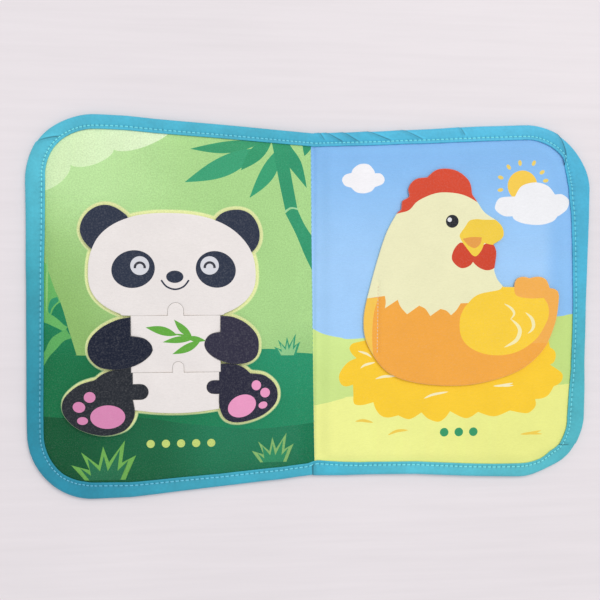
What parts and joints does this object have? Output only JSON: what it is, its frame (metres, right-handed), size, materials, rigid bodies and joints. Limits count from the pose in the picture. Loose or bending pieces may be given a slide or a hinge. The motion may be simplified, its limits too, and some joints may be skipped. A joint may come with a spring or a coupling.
{
  "type": "cloth quiet book",
  "caption": "Open cloth quiet book: two bound felt pages that fold shut, one with a felt puzzle animal on hook-and-loop dots, the other with a sewn felt lift flap.",
  "frame": {"origin": "on the surface that the open book lies on, under the middle of its fold", "axes": "+X across the spread towards the page with the flap, +Y up the pages along the fold, +Z out of the open pages"},
  "size_m": [0.364, 0.2398, 0.0076],
  "materials": {
    "printed_felt_left": "matte printed felt",
    "printed_felt_right": "matte printed felt",
    "back_felt": "matte plain felt",
    "fold_felt": "matte printed felt, sewn flat",
    "padding": "soft wadding",
    "binding_tape": "satin woven tape",
    "white_felt": "matte printed felt",
    "black_felt": "matte printed felt",
    "hen_felt": "matte printed felt",
    "hook_tape": "stiff hook tape",
    "loop_tape": "brushed loop tape"
  },
  "bodies": {
    "left_page": {"left_front_felt": "printed_felt_left", "left_padding": "padding", "left_back_felt": "back_felt", "left_binding": "binding_tape", "fold_strip": "fold_felt", "fold_binding_top": "binding_tape", "fold_binding_bottom": "binding_tape", "head_loop_dot": "loop_tape", "torso_loop_dot": "loop_tape", "belly_loop_dot": "loop_tape", "left_arm_loop_dot": "loop_tape", "right_arm_loop_dot": "loop_tape", "left_leg_loop_dot": "loop_tape", "right_leg_loop_dot": "loop_tape"},
    "right_page": {"right_front_felt": "printed_felt_right", "right_padding": "padding", "right_back_felt": "back_felt", "right_binding": "binding_tape", "hen_sewn_edge": "hen_felt"},
    "hen": {"hen_flap": "hen_felt"},
    "head_piece": {"puzzle_head": "white_felt", "head_hook_dot": "hook_tape"},
    "torso_piece": {"puzzle_torso": "white_felt", "torso_hook_dot": "hook_tape"},
    "belly_piece": {"puzzle_belly": "white_felt", "belly_hook_dot": "hook_tape"},
    "left_arm_piece": {"puzzle_left_arm": "black_felt", "left_arm_hook_dot": "hook_tape"},
    "right_arm_piece": {"puzzle_right_arm": "black_felt", "right_arm_hook_dot": "hook_tape"},
    "left_leg_piece": {"puzzle_left_leg": "black_felt", "left_leg_hook_dot": "hook_tape"},
    "right_leg_piece": {"puzzle_right_leg": "black_felt", "right_leg_hook_dot": "hook_tape"}
  },
  "joints": [
    {"name": "book_fold", "type": "hinge", "parent": "left_page", "child": "right_page", "pos_m": [0, 0, 0.00725], "axis": [0, 1, 0], "range_deg": [-179.5, 0], "deforming": ["fold_strip", "fold_binding_top", "fold_binding_bottom"]},
    {"name": "hen_lift", "type": "hinge", "parent": "right_page", "child": "hen", "pos_m": [0.0418, -0.008, 0.00645], "axis": [0, -1, 0], "range_deg": [0, 165]},
    {"name": "head_lift", "type": "slide", "parent": "left_page", "child": "head_piece", "axis": [0, 0, 1], "range_m": [0, 0.06]},
    {"name": "torso_lift", "type": "slide", "parent": "left_page", "child": "torso_piece", "axis": [0, 0, 1], "range_m": [0, 0.06]},
    {"name": "belly_lift", "type": "slide", "parent": "left_page", "child": "belly_piece", "axis": [0, 0, 1], "range_m": [0, 0.06]},
    {"name": "left_arm_lift", "type": "slide", "parent": "left_page", "child": "left_arm_piece", "axis": [0, 0, 1], "range_m": [0, 0.06]},
    {"name": "right_arm_lift", "type": "slide", "parent": "left_page", "child": "right_arm_piece", "axis": [0, 0, 1], "range_m": [0, 0.06]},
    {"name": "left_leg_lift", "type": "slide", "parent": "left_page", "child": "left_leg_piece", "axis": [0, 0, 1], "range_m": [0, 0.06]},
    {"name": "right_leg_lift", "type": "slide", "parent": "left_page", "child": "right_leg_piece", "axis": [0, 0, 1], "range_m": [0, 0.06]}
  ]
}
